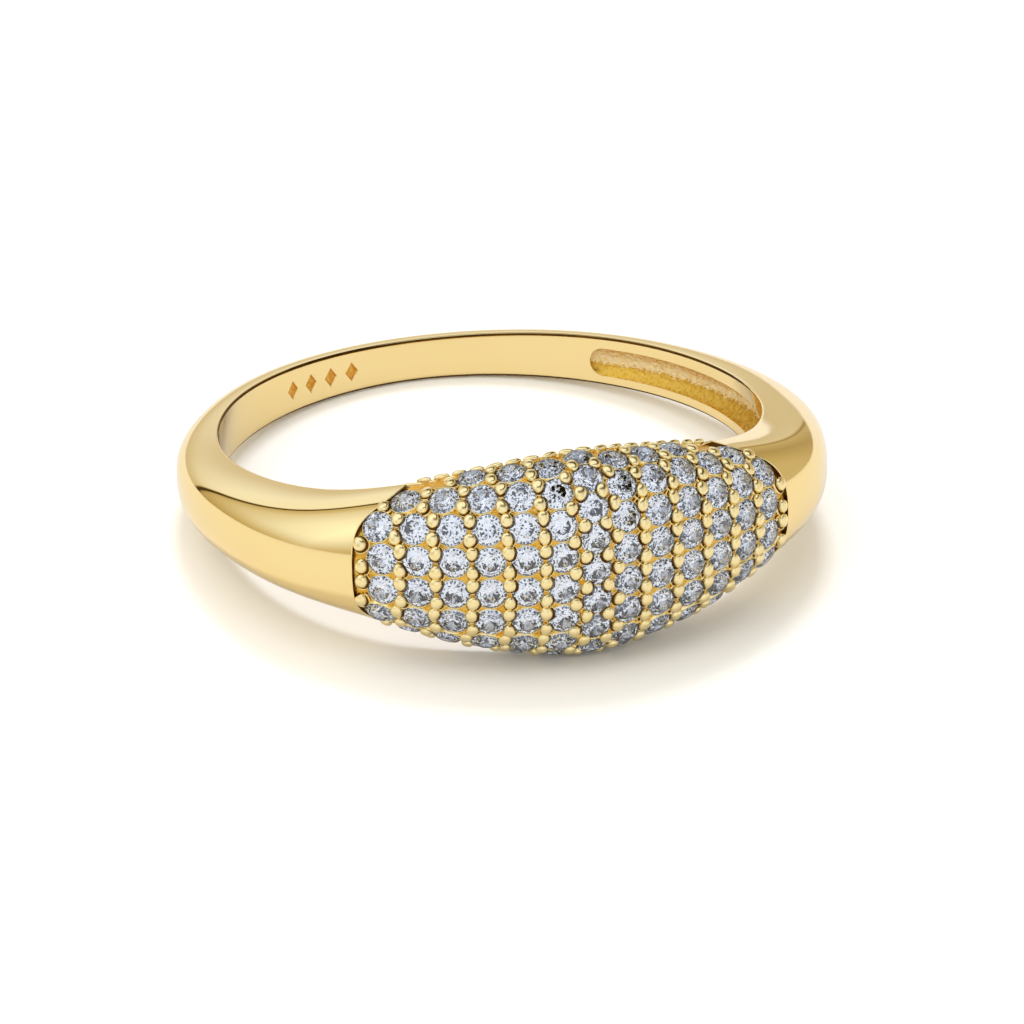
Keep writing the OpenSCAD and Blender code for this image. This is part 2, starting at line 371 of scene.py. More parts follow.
def gold(name, low, high, rough_low, rough_high, tone_scale, bump=None):
    """Gold whose tone and polish drift a little; bump is (scale, depth, strength)."""
    material, tree, shader = new_material(name)
    shader.inputs["Metallic"].default_value = 1.0
    drift = add_noise(tree, tone_scale)
    tree.links.new(add_ramp(tree, drift, low, high), shader.inputs["Base Color"])
    tree.links.new(add_range(tree, drift, rough_low, rough_high), shader.inputs["Roughness"])
    if bump:
        scale, depth, strength = bump
        add_bump(tree, shader, add_noise(tree, scale, 4.0), depth, strength)
    return material


def clear_stone():
    """Clear cut stone that bends light strongly."""
    material, tree, shader = new_material("clear_stone")
    drift = add_noise(tree, 900.0)
    tone = add_ramp(tree, drift, (0.93, 0.95, 0.98), (1.0, 1.0, 1.0))
    tree.links.new(tone, shader.inputs["Base Color"])
    shader.inputs["Roughness"].default_value = 0.0
    shader.inputs["IOR"].default_value = 2.1
    shader.inputs["Transmission Weight"].default_value = 1.0
    return material


def painted_facet_reflection():
    """Grey-blue of the darkest facets of a cut stone, as painted reflection on dashes over its crown."""
    material, tree, shader = new_material("painted_facet_reflection")
    drift = add_noise(tree, 5000.0)
    tone = add_ramp(tree, drift, (0.05, 0.06, 0.08), (0.17, 0.2, 0.25))
    tree.links.new(tone, shader.inputs["Base Color"])
    tree.links.new(add_range(tree, drift, 0.15, 0.35), shader.inputs["Roughness"])
    return material


def floor_paint():
    """Pale floor that the polished metal mirrors a little less brightly."""
    material, tree, shader = new_material("floor_paint")
    drift = add_noise(tree, 12.0)
    seen = add_ramp(tree, drift, (0.925, 0.912, 0.885), (0.935, 0.922, 0.895))
    mirrored = add_ramp(tree, drift, (0.66, 0.67, 0.72), (0.67, 0.68, 0.73))
    path = tree.nodes.new("ShaderNodeLightPath").outputs
    tree.links.new(mix_colours(tree, path["Is Glossy Ray"], seen, mirrored), shader.inputs["Base Color"])
    shader.inputs["Roughness"].default_value = 0.85
    return material


polished = gold(
    "polished_gold", (0.97, 0.735, 0.315), (0.985, 0.755, 0.335), 0.05, 0.08, 350.0, (2600.0, 2e-6, 0.05)
)
bead_gold = gold(
    "bead_gold", (0.985, 0.77, 0.34), (1.0, 0.82, 0.41), 0.18, 0.27, 1800.0, (9000.0, 4e-6, 0.2)
)
bed_gold = gold(
    "bed_gold", (0.7, 0.37, 0.035), (0.88, 0.53, 0.1), 0.18, 0.34, 5200.0, (14000.0, 1.2e-5, 0.5)
)
# Dark gold of painted shade: the dark line along the rims, the foot of each lip, the strip beside each
# grain
painted_shade_gold = gold(
    "painted_shade_gold", (0.07, 0.03, 0.005), (0.13, 0.055, 0.01), 0.25, 0.4, 2500.0, (9000.0, 4e-6, 0.3)
)
cup_metal = gold(
    "cup_metal", (0.78, 0.8, 0.84), (0.93, 0.95, 0.97), 0.06, 0.16, 4000.0, (9000.0, 4e-6, 0.2)
)
# Dark ticks of painted reflection round the upper wall of each seat's hollow
painted_tick_reflection = gold("painted_tick_reflection", (0.03, 0.035, 0.045), (0.08, 0.09, 0.11), 0.3, 0.45, 4000.0)
marked_gold = gold(
    "marked_gold", (0.72, 0.33, 0.03), (0.95, 0.56, 0.12), 0.28, 0.5, 9000.0, (22000.0, 2e-5, 0.8)
)
# The recess's two tones, paler above and deeper below, are painted reflection
cast_gold = gold(
    "cast_gold", (0.88, 0.6, 0.2), (1.0, 0.84, 0.5), 0.2, 0.4, 9000.0, (24000.0, 2e-5, 1.0)
)
painted_reflection_cast_gold = gold(
    "painted_reflection_cast_gold", (0.62, 0.34, 0.03), (0.85, 0.52, 0.09), 0.2, 0.4, 9000.0, (21000.0, 1.2e-5, 0.7)
)


# Polished band

def rim_meeting(angle):
    """Where the outer surface meets its rim's rounding, as shares of the thickness and the half width."""
    power = smooth(angle, 3)
    share = rim_round / band_thickness(angle)
    return share, (1 - share**power) ** (1 / power)


def even_leans(angle, rows):
    """Leans that split the outer surface of one section into equal lengths."""
    share, high = rim_meeting(angle)
    half = arc_lengths(angle)
    reach = float(np.interp(math.atan2(high, share), LEANS, half))
    s = np.linspace(-reach, reach, rows)
    return np.sign(s) * np.interp(np.abs(s), half, LEANS)


def recess_half(angle):
    """Half width of the cast recess; nothing outside it, and rounded at both ends."""
    half = band_width(angle) * recess_share / 2
    inward = np.radians(np.minimum(angle - recess_from, recess_to - angle)) * hole_r
    run = np.clip(1 - inward / half, 0, 1)
    return half * np.sqrt(1 - run**2) * (inward > 0)


def bore_rows(angle, side):
    """The bore's wall from the recess, or the recess's middle line, to one rim's rounding, as z."""
    start = recess_rise * (angle > recess_from - 30) + side * recess_half(angle)
    end = side * (band_width(angle) / 2 - rim_round)
    return start + (end - start) * np.linspace(0, 1, bore_rows_count)


def rim_rows(angle, side):
    """The rounding between the bore and the outer surface, as z and radius."""
    turn = np.radians(np.linspace(0, 90, rim_rows_count + 1))[1:]
    top = band_width(angle) / 2 * rim_meeting(angle)[1]
    z = side * (top - rim_round + rim_round * np.sin(turn))
    r = hole_r + rim_round - rim_round * np.cos(turn)
    return z, r


def band_line(angle, rows):
    """One closed line of the polished band: bore, lower rim, outer surface, upper rim, bore."""
    leans = even_leans(angle, rows)
    outer_angles = drawn(np.full(rows, angle), leans)
    outer = skin(outer_angles, leans)
    rim_angle = signed_angle(float(drawn(np.array(angle), np.array(math.pi / 2))))
    parts = []
    for side in (-1, 1):
        wall_z = bore_rows(rim_angle, side)
        rim_z, rim_r = rim_rows(rim_angle, side)
        z = np.concatenate([wall_z, rim_z])
        r = np.concatenate([np.full(len(wall_z), hole_r), rim_r])
        parts.append(around(np.full(len(z), rim_angle), z, r))
    return np.concatenate([parts[0][:-1], outer, parts[1][:-1][::-1]])


def end_angles(stop, way, count=14):
    """Angles that close in on a rounded end of the recess."""
    half = float(band_width(stop)) * recess_share / 2
    turns = np.radians(np.linspace(0, 90, count))
    return stop - way * np.degrees(half / hole_r) * (1 - np.cos(turns))


def grid_angle(true_angle):
    """The grid line whose rim lies at a true angle."""
    table = np.linspace(-179, 179, 2865)
    return np.interp(true_angle, drawn(table, np.full_like(table, math.pi / 2)), table)


def band_angles():
    ends = np.concatenate([end_angles(recess_to, 1), end_angles(recess_from, -1) % 360])
    ends = np.where(ends > 180, grid_angle(signed_angle(ends)) % 360, ends)
    angles = np.concatenate([np.linspace(field_angle, 360 - field_angle, 460), ends, marked_lines])
    return np.unique(np.round(angles, 4))


def lip_lines(angle, rows):
    """Lines that round the skin's edge over and take it down to the bed, from a border line outwards."""
    leans = even_leans(angle, rows)
    true_angle = drawn(np.full(rows, angle), leans)
    line = skin(true_angle, leans)
    normal, along = normals_at(true_angle, leans)
    outward = unit(np.cross(normal, np.gradient(line, axis=0)))
    outward = outward * np.sign((outward * along).sum(-1, keepdims=True)) * (-1 if angle < 180 else 1)
    turns = np.radians(np.linspace(0, 75, 6))
    over = lip_round * np.sin(turns)
    down = lip_round * (1 - np.cos(turns))
    over = np.append(over, over[-1] + lip_foot)
    down = np.append(down, down[-1] + lip_depth)
    return [line + o * outward - d * normal for o, d in zip(over, down)]


def outside_marked_wall(angles, count):
    """For each face of the band's grid, whether it is outside the marked part of the bore's wall."""
    row = np.arange(count - 1)
    marked = (angles[:-1] >= marked_lines[0]) & (angles[:-1] < marked_lines[1])
    in_bore = (row < bore_rows_count - 1) | (row > count - 1 - bore_rows_count)
    return ~(marked[:, None] & in_bore[None, :]).ravel()


def in_painted_dark_line(angles, count):
    """For each face of the band's grid, whether it is in the painted dark reflection line along a rim."""
    row = np.arange(count - 1)
    from_wall = np.minimum(row - bore_rows_count, count - 2 - bore_rows_count - row)
    from_back = np.abs(180 - angles[:-1])
    wide = np.round(dark_rows * np.clip((DARK_LINE_ENDS[1] - from_back) / np.ptp(DARK_LINE_ENDS), 0, 1))
    return ((from_wall[None, :] >= 0) & (from_wall[None, :] < wide[:, None])).ravel()


def polished_band():
    angles = band_angles()
    lines = [band_line(a, outer_rows) for a in angles]
    count = len(lines[0])
    points = np.concatenate(lines)
    kept = outside_marked_wall(angles, count)
    faces = [grid_faces(len(lines), count)[kept]]
    # Faces in painted shade: the painted dark reflection line along the rims, then the foot of each lip
    dark = [in_painted_dark_line(angles, count)[kept]]
    for angle in (angles[0], angles[-1]):
        lip = lip_lines(angle, outer_rows)
        if angle < 180:
            lip = lip[::-1]
        faces.append(grid_faces(len(lip), outer_rows, len(points)))
        points = np.concatenate([points] + lip)
        # The lip's foot, where it goes down to the bed, is painted shade
        foot = np.arange(len(lip) - 1) == (0 if angle < 180 else len(lip) - 2)
        dark.append(np.repeat(foot, outer_rows - 1))
    band = make_mesh("polished_band", points, np.concatenate(faces), polished)
    add_second_material(band, painted_shade_gold, np.concatenate(dark))
    return band


mark_slope, mark_grit = 0.2, 0.012


def marked_wall():
    """The part of the bore's wall with four plain lozenges punched into it."""
    lines, rows = 270, 115
    angle = np.linspace(marked_lines[0], marked_lines[1], lines)[:, None]
    half = band_width(angle) / 2 - rim_round
    z = np.linspace(-1, 1, rows)[None, :] * half
    inside = np.zeros((lines, rows))
    for i in range(mark_count):
        along = np.radians(angle - 360 - mark_middle) * hole_r - (i - (mark_count - 1) / 2) * mark_pitch
        inside = np.maximum(inside, 1 - np.abs(along) / (mark_w / 2) - np.abs(z) / (mark_h / 2))
    depth = mark_depth * np.clip(inside / mark_slope, 0, 1) ** 0.7
    points = around(angle + 0 * z, z, hole_r + depth).reshape(-1, 3)
    pitted = (inside > 0.12).ravel()
    relief = np.zeros(len(points))
    relief[pitted] = mark_grit * lumps(points[pitted], 0.05, 3.0)
    points = points + relief[:, None] * unit(points * np.array([1, 1, 0]))
    faces = grid_faces(lines, rows)
    wall = make_mesh("marked_wall", points, faces, polished)
    add_second_material(wall, marked_gold, inside.ravel()[faces].mean(axis=1) > 0.04)
    return wall


def border_at_rim():
    """The true angle at which the field's border meets either rim."""
    return float(drawn(np.array(field_angle), np.array(math.pi / 2)))


def rim_ridges():
    """The bore's wall under the stone field, and the thin rim that closes the field at either side."""
    stop = border_at_rim()
    angles = np.linspace(-stop, stop, 180)
    sets = []
    for side in (-1, 1):
        lines = []
        for a in angles:
            sunk = ridge_drop * min(1.0, (stop - abs(a)) / 4)
            top = float(band_width(a)) / 2 - sunk
            start = recess_rise + side * float(recess_half(a))
            wall = start + (side * (top - ridge_round) - start) * np.linspace(0, 1, bore_rows_count)
            turn = np.radians(np.linspace(0, 90, 6))[1:]
            z = np.concatenate([wall, side * (top - ridge_round + ridge_round * np.sin(turn))])
            r = np.concatenate([np.full(len(wall), hole_r), hole_r + ridge_round * (1 - np.cos(turn))])
            z = np.concatenate([z, side * (top - np.array([0, 0.012, 0.04, 0.3]))])
            r = np.concatenate([r, hole_r + ridge_wide + np.array([-0.02, 0.0, 0.012, 0.02])])
            lines.append(around(np.full(len(z), a), z, r))
        sets.append(lines if side > 0 else lines[::-1])
    count = len(sets[0][0])
    points = np.concatenate(sets[0] + sets[1])
    faces = np.concatenate([
        grid_faces(len(angles), count), grid_faces(len(angles), count, len(angles) * count)
    ])
    return make_mesh("rim_ridges", points, faces, polished)


# Stone field

def nearest_seat(points, seats):
    """Distance of each point from the axis of the nearest stone, and the direction away from that axis."""
    best = np.full(len(points), 9.0)
    away = np.zeros_like(points)
    for origin, _, _, normal in seats:
        d = points - origin
        flat = d - (d @ normal)[:, None] * normal
        far = np.linalg.norm(flat, axis=1)
        nearer = far < best
        best[nearer] = far[nearer]
        away[nearer] = flat[nearer] / np.maximum(far[nearer], 1e-6)[:, None]
    return best, away


# How near a point of the bed is moved onto a seat's edge, and the heights of its lumps and raised edges
bed_snap, coarse_bed, fine_bed, bed_ridge = 0.024, 0.014, 0.008, 0.025


def pave_bed(seats):
    """Rough-cast bed between the stones, open where each stone's seat is."""
    lines, rows = 430, 240
    grid = []
    for angle in np.linspace(-field_angle - 0.6, field_angle + 0.6, lines):
        half = arc_lengths(angle)
        s = np.linspace(-half[-1] + 0.03, half[-1] - 0.03, rows)
        grid.append(np.stack([np.full(rows, angle), np.sign(s) * np.interp(np.abs(s), half, LEANS)], -1))
    grid = np.concatenate(grid)
    angle = drawn(grid[:, 0], grid[:, 1])
    points = skin(angle, grid[:, 1], bed_drop)
    normal, _ = normals_at(angle, grid[:, 1])
    far, away = nearest_seat(points, seats)
    edge = stone_r + seat_edge
    on_edge = np.abs(far - edge) < bed_snap
    points = points + np.where(on_edge, edge - far, 0)[:, None] * away
    inside = (far < edge) & ~on_edge
    relief = coarse_bed * lumps(points, 0.11) + fine_bed * lumps(points, 0.05, 4.0)
    ridge = bed_ridge * np.exp(-(((far - edge) / 0.035) ** 2))
    points = points + (relief + ridge)[:, None] * normal
    faces = grid_faces(lines, rows)
    faces = faces[~inside[faces].any(axis=1)]
    used, faces = np.unique(faces, return_inverse=True)
    return make_mesh("pave_bed", out_of_bore(points[used]), faces.reshape(-1, 4), bed_gold)


behind_wall, stone_behind_wall = 0.03, 0.05


def out_of_bore(points, margin=behind_wall):
    """The points, with those that would come through the bore's wall moved out behind it."""
    far = np.hypot(points[:, 0], points[:, 1])
    scale = np.maximum(1, (hole_r + margin) / far)[:, None]
    return points * np.concatenate([scale, scale, np.ones_like(scale)], axis=1)


def turned(frames, profile, sides):
    """Turned shapes on many frames: profile rows are radius and height."""
    turns = np.arange(sides) * 2 * math.pi / sides
    ring = np.stack([np.cos(turns), np.sin(turns)], -1)
    points = []
    faces = []
    for n, (origin, along, across, normal) in enumerate(frames):
        for radius, high in profile:
            points.append(origin + radius * (ring[:, :1] * along + ring[:, 1:] * across) + high * normal)
        base = n * len(profile) * sides
        for j in range(len(profile) - 1):
            i = base + j * sides + np.arange(sides)
            k = base + j * sides + (np.arange(sides) + 1) % sides
            faces.append(np.stack([i, k, k + sides, i + sides], -1))
    return np.concatenate(points), np.concatenate(faces)


def seat_walls(seats):
    """Thin bright edge of the seat round each stone's girdle."""
    lift = girdle_lift
    profile = [
        (stone_r + 0.004, lift - 0.045),
        (stone_r + 0.008, lift - 0.012),
        (stone_r + 0.02, lift + 0.002),
        (stone_r + 0.035, lift - 0.02),
        (stone_r + 0.045, lift - 0.12),
    ]
    points, faces = turned(seats, profile, 40)
    return make_mesh("seat_walls", out_of_bore(points), faces, bead_gold)


def seat_cups(seats):
    """The bright-cut hollow under each stone, with dark ticks round its upper wall as painted reflection.
    """
    lift = girdle_lift
    sides = 52
    profile = [(0.02, lift - 0.5), (stone_r - 0.075, lift - 0.12), (stone_r + 0.004, lift - 0.045)]
    points, faces = turned(seats, profile, sides)
    cups = make_mesh("seat_cups", out_of_bore(points), faces, cup_metal)
    face = np.arange(len(faces))
    # Painted reflection: dark ticks on every other face of the cup's upper wall
    add_second_material(cups, painted_tick_reflection, (face // sides % 2 == 1) & (face % sides % 2 == 0))
    return cups


def cut_stone():
    """Points and faces of one brilliant-cut stone of radius 1, with its girdle's top at height 0."""
    table, crown, girdle, deep = stone_table, stone_crown, stone_girdle, stone_deep
    cos_half = math.cos(math.pi / 8)
    star = table * cos_half * 0.5 + 0.5
    star_high = crown * (1 - star * cos_half) / (1 - table)
    low = 0.24
    low_high = -deep + (deep - girdle) * low * cos_half
    rings = [
        (8, 0.0, table, crown),
        (8, 0.5, star, star_high),
        (16, 0.0, 1.0, 0.0),
        (16, 0.0, 1.0, -girdle),
        (8, 0.5, low, low_high),
        (1, 0.0, 0.0, -deep),
    ]
    points = []
    for count, shift, radius, high in rings:
        for i in range(count):
            turn = 2 * math.pi * (i + shift) / count
            points.append((radius * math.cos(turn), radius * math.sin(turn), high))
    faces = [list(range(8))]
    for i in range(8):
        n = (i + 1) % 8
        before = (i + 7) % 8
        g = 16 + 2 * i
        g_next = 16 + (2 * i + 1) % 16
        g_far = 16 + (2 * i + 2) % 16
        faces.append([i, 8 + i, n])
        faces.append([i, 8 + before, g, 8 + i])
        faces.append([8 + i, g, g_next])
        faces.append([8 + i, g_next, g_far])
        faces.append([g, g + 16, g_next + 16, g_next])
        faces.append([g_next, g_next + 16, g_far + 16, g_far])
        faces.append([48 + i, g_next + 16, g + 16])
        faces.append([48 + i, g_far + 16, g_next + 16])
        faces.append([56, 48 + i, g + 16, 48 + before])
    return np.array(points), faces


stone_lean = 0.02


def stone_frames(seats):
    """Each stone's girdle middle and its three directions, turned and leaning a little."""
    chance = np.random.default_rng(5)
    frames = []
    for origin, along, across, normal in seats:
        spin = chance.uniform(0, math.pi / 4)
        lean = chance.normal(0, stone_lean, 2)
        up = unit(normal + lean[0] * along + lean[1] * across)
        one = unit(np.cross(across * math.cos(spin) - along * math.sin(spin), up))
        frames.append((origin + girdle_lift * normal, one, np.cross(up, one), up))
    return frames


def placed_in(frame_of_stone, model):
    """Points given in stone radii, put where a stone sits."""
    origin, one, two, up = frame_of_stone
    return origin + stone_r * (model[:, :1] * one + model[:, 1:2] * two + model[:, 2:] * up)


# A dash's inner width as a share of its outer one, and how its place and half width vary, in pitches
dash_taper, dash_shift, dash_half = 0.6, 0.25, (0.22, 0.38)


def dash(middle, half, inner, outer):
    """One dash on a stone's crown, in stone radii: its middle and half width are angles in radians."""
    thin = dash_taper * half
    corners = [(inner, -thin), (outer, -half), (outer, half), (inner, thin)]
    return np.array([
        (rho * math.cos(middle + turn), rho * math.sin(middle + turn),
         stone_crown * (1 - rho) / (1 - stone_table) + dash_lift)
        for rho, turn in corners
    ])


def painted_reflection_dashes(frames):
    """Fine dark dashes of painted reflection on each cut stone's crown near its girdle, and a few nearer
    its table.
    """
    chance = np.random.default_rng(8)
    points = []
    for frame_of_stone in frames:
        for count, share, inside, outside in DASH_ROWS:
            for i in range(count):
                middle = 2 * math.pi * (i + chance.uniform(-dash_shift, dash_shift)) / count
                half = chance.uniform(*dash_half) * 2 * math.pi / count
                one = dash(middle, half, chance.uniform(*inside), chance.uniform(*outside))
                if chance.uniform() < share:
                    points.append(placed_in(frame_of_stone, one))
    points = np.concatenate(points)
    return make_mesh("painted_reflection_dashes", points, np.arange(len(points)).reshape(-1, 4), painted_dash_tone, False)


def pave_stones(frames):
    """All cut stones, with any point that would reach the bore moved back behind its wall."""
    model, model_faces = cut_stone()
    points = []
    faces = []
    for n, frame_of_stone in enumerate(frames):
        points.append(placed_in(frame_of_stone, model))
        faces += [[i + n * len(model) for i in f] for f in model_faces]
    points = out_of_bore(np.concatenate(points), stone_behind_wall)
    return make_mesh("cut_stones", points, faces, stone_clear, False)


# How grains differ: their turn and tip in radians, and the bounds of their size and taper
bead_spin, bead_tip, bead_sizes, bead_tapers = 0.35, 0.04, (0.93, 1.05), (0.08, 0.2)


def bead_outlines(places, sizes, seed):
    """For each grain: its frame turned and tipped a little, and its outline as offsets from its middle."""
    chance = np.random.default_rng(seed)
    wide, long = sizes
    outlines = []
    for (origin, along, across, normal) in places:
        spin = chance.uniform(-bead_spin, bead_spin)
        one = along * math.cos(spin) + across * math.sin(spin)
        two = np.cross(normal, one)
        tip = chance.normal(0, bead_tip, 2)
        up = unit(normal + tip[0] * one + tip[1] * two)
        size = chance.uniform(*bead_sizes, 2) * (wide, long)
        taper = chance.choice([-1, 1]) * chance.uniform(*bead_tapers)
        outlines.append((origin, one, two, up, size, taper))
    return outlines


def on_outline(outline_of_bead, turns, extra=0.0):
    """Offsets of a grain's egg-shaped outline at some turns, pushed out by extra."""
    _, one, two, _, (wide, long), taper = outline_of_bead
    side = (wide + extra) * np.cos(turns) * (1 + taper * np.sin(turns))
    return side[:, None] * one + ((long + extra) * np.sin(turns))[:, None] * two


foot_share, foot_depth = 0.97, 0.24


def beads(name, outlines, tall, high):
    """Rounded grains of metal that hold the stones, each a little different, with upright sides."""
    sides = 24
    turns = np.arange(sides) * 2 * math.pi / sides
    falls = np.radians([6, 20, 34, 47, 58, 68, 77, 84, 90])
    profile = [(np.sin(f) ** 0.85, high - tall * (1 - np.cos(f) ** 0.85)) for f in falls]
    profile.append((foot_share, high - tall - foot_depth))
    points = []
    faces = []
    for n, bead in enumerate(outlines):
        ring = on_outline(bead, turns)
        for share, level in profile:
            points.append(bead[0] + share * ring + level * bead[3])
        base = n * sides * len(profile)
        faces.append(list(range(base, base + sides)))
        for j in range(len(profile) - 1):
            i = base + j * sides + np.arange(sides)
            k = base + j * sides + (np.arange(sides) + 1) % sides
            faces += np.stack([i, i + sides, k + sides, k], -1).tolist()
    return make_mesh(name, out_of_bore(np.concatenate(points)), faces, bead_gold)


crescent_reach, lip_rises, over_crown = 112, (0.0, 0.028, 0.026, -0.05), 0.012


def crescents(outlines, places, seats):
    """Painted shade beside each grain: a dark strip on the side towards the ring's middle, and the thin lip
    beyond it.
    """
    reach = math.radians(crescent_reach)
    spread = np.linspace(-reach, reach, 25)
    swell = np.sqrt(np.maximum(0, np.cos(spread) - math.cos(reach)) / (1 - math.cos(reach)))
    shade_strips = []
    lips = []
    ups = []
    for bead, (x, _) in zip(outlines, places):
        facing = math.radians(-40 if x < 0 else 220)
        turns = spread + facing
        shade_wide = crescent_wide * swell
        lip = bead_lip * swell
        shade_strips += [bead[0] + foot_share * on_outline(bead, turns)]
        shade_strips += [bead[0] + on_outline(bead, turns, share * shade_wide) for share in (0.3, 0.7, 1.0)]
        edges = [bead[0] + on_outline(bead, turns, shade_wide + share * lip) for share in (0, 0.3, 0.7, 1.0)]
        lips += [edge + (crescent_level + rise) * bead[3] for edge, rise in zip(edges, lip_rises)]
        ups.append(np.repeat(bead[3][None, :], 4 * len(spread), axis=0))
    shade_strips, ups = np.concatenate(shade_strips), np.concatenate(ups)
    far, _ = nearest_seat(shade_strips, seats)
    shade_strips = shade_strips + np.maximum(crescent_level, crown_height(far) + over_crown)[:, None] * ups
    lips = keep_off_seats(np.concatenate(lips), seats)
    count = len(spread)
    faces = np.concatenate([grid_faces(4, count, 4 * count * n) for n in range(len(outlines))])
    # Dark strips of painted shade beside the grains, and their lips
    return [
        make_mesh("bead_painted_shade", out_of_bore(shade_strips), faces, painted_shade_gold),
        make_mesh("bead_lips", out_of_bore(lips), faces, bead_gold),
    ]


def crown_height(far):
    """Height of a stone's crown at a distance from its axis; far below it beyond the girdle."""
    inward = (stone_r - far) / (stone_r * (1 - stone_table))
    return np.where(far < stone_r, girdle_lift + stone_crown * stone_r * np.clip(inward, 0, 1), -1.0)


def keep_off_seats(points, seats):
    """The points, with those over a stone's seat moved out to its edge."""
    far, away = nearest_seat(points, seats)
    return points + np.maximum(0, stone_r + seat_edge - far)[:, None] * away


def rim_grain_frames():
    """Frames for the low grains that line both rims of the stone field."""
    frames = []
    stop = border_at_rim() - 1.5
    x = rim_grain_pitch / 2
    while place(x, 0.0)[0] < stop + 4:
        half = float(arc_lengths(place(x, 0.0)[0])[-1])
        s = half - rim_grain_inset
        if place(x, s)[0] < stop:
            frames += [above_floor(frame_at(side * x, way * s)) for side in (-1, 1) for way in (-1, 1)]
        x += rim_grain_pitch
    return frames


def above_floor(frame_of_grain):
    """The grain's frame, sunk so far that its top stays above the floor."""
    origin, along, across, normal = frame_of_grain
    height = float(to_frame(origin + rim_grain_high * normal)[2]) / MM
    return origin + min(0.0, height - 0.01) * normal, along, across, normal


# Cast recess

# Share of the recess's rows, from its lower side, in the deeper tone of painted reflection
painted_reflection_share = 0.43
coarse_grit, fine_grit = 0.018, 0.017


def cast_recess():
    """Rough, hollowed inside of the band, with rounded ends and painted reflection: a deeper tone along its
    lower side.
    """
    ends = np.concatenate([end_angles(recess_from, -1, 18), end_angles(recess_to, 1, 18)])
    angles = np.unique(np.concatenate([np.linspace(recess_from + 3, recess_to - 2, 430), ends]))
    rows = 56
    t = np.sin(np.linspace(-1, 1, rows) * math.pi / 2)
    lines = []
    for a in angles:
        full = float(band_width(a)) * recess_share / 2
        inward = math.radians(min(a - recess_from, recess_to - a)) * hole_r
        run = min(1.0, max(0.0, 1 - inward / full))
        z = t * full * math.sqrt(1 - run * run)
        q = np.minimum(1, np.sqrt(run * run + (z / full) ** 2))
        deep = recess_depth * float(band_thickness(a)) * (1 - q**2) ** 0.85
        lines.append(around(np.full(rows, a), recess_rise + z * 1.012, hole_r + 0.004 + deep))
    points = np.concatenate(lines)
    inside = np.hypot(points[:, 0], points[:, 1]) - hole_r
    relief = coarse_grit * lumps(points, 0.1, 2.0) + fine_grit * lumps(points, 0.055, 7.0)
    inward = -unit(points * np.array([1, 1, 0]))
    points = points + (relief * np.minimum(1, inside / 0.05))[:, None] * inward
    faces = grid_faces(len(angles), rows)
    recess = make_mesh("cast_recess", points, faces, cast_gold)
    middles = points[faces].mean(axis=1)
    share = np.tile((np.arange(rows - 1) + 0.5) / (rows - 1), len(angles) - 1)
    speckle = 0.11 * lumps(middles, 0.045, 5.0) + 0.05 * lumps(middles, 0.2, 9.0)
    # Painted reflection: the deeper tone along the lower side, its edge broken by noise
    add_second_material(recess, painted_reflection_cast_gold, share + speckle < painted_reflection_share)
    return recess


stone_clear = clear_stone()
painted_dash_tone = painted_facet_reflection()
seats = [frame_at(x, s) for x, s in stone_places()]
half_grains = grain_places()
grains = [(side * x, s) for side in (-1, 1) for x, s in half_grains]
grain_outlines = bead_outlines([frame_at(x, s) for x, s in grains], (bead_wide, bead_long), 11)
rim_outlines = bead_outlines(rim_grain_frames(), (rim_grain_wide, rim_grain_long), 3)

gold_pieces = [
    polished_band(),
    marked_wall(),
    rim_ridges(),
    pave_bed(seats),
    seat_walls(seats),
    seat_cups(seats),
    beads("beads", grain_outlines, bead_tall, bead_high),
    beads("rim_grains", rim_outlines, rim_grain_tall, rim_grain_high),
    *crescents(grain_outlines, grains, seats),
    cast_recess(),
]
for piece in gold_pieces:
    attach(piece, "root")
    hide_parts("ring_body")
stone_seats = stone_frames(seats)
for stones in (pave_stones(stone_seats), painted_reflection_dashes(stone_seats)):
    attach(stones, "root")
    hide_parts("pave_stones")


# Scene

def studio_floor():
    bpy.ops.mesh.primitive_circle_add(vertices=96, radius=3.0, fill_type="NGON")
    floor = bpy.context.object
    floor.name = "studio_floor"
    floor.data.materials.append(floor_paint())


studio_floor()

# The fitted camera: its angles, distance in millimetres and scale, and where it sees the ring's middle
PHOTO_SIDE = 1024
camera_rise = math.radians(21.451)
camera_turn = math.radians(17.976)
camera_roll = math.radians(-1.344)
camera_distance = 400.0
pixels_per_mm = 31.908
ring_pixel = (490.75, 452.19)


def from_camera_frame(v):
    """A direction of the fitted camera's frame in the shared frame."""
    c, s = math.cos(camera_roll), math.sin(camera_roll)
    x, y, z = v[0] * c - v[2] * s, v[1], v[0] * s + v[2] * c
    c, s = math.cos(camera_turn), math.sin(camera_turn)
    x, y = x * c + y * s, y * c - x * s
    c, s = math.cos(rest_tilt), math.sin(rest_tilt)
    return Vector((x, y * c + z * s, z * c - y * s))


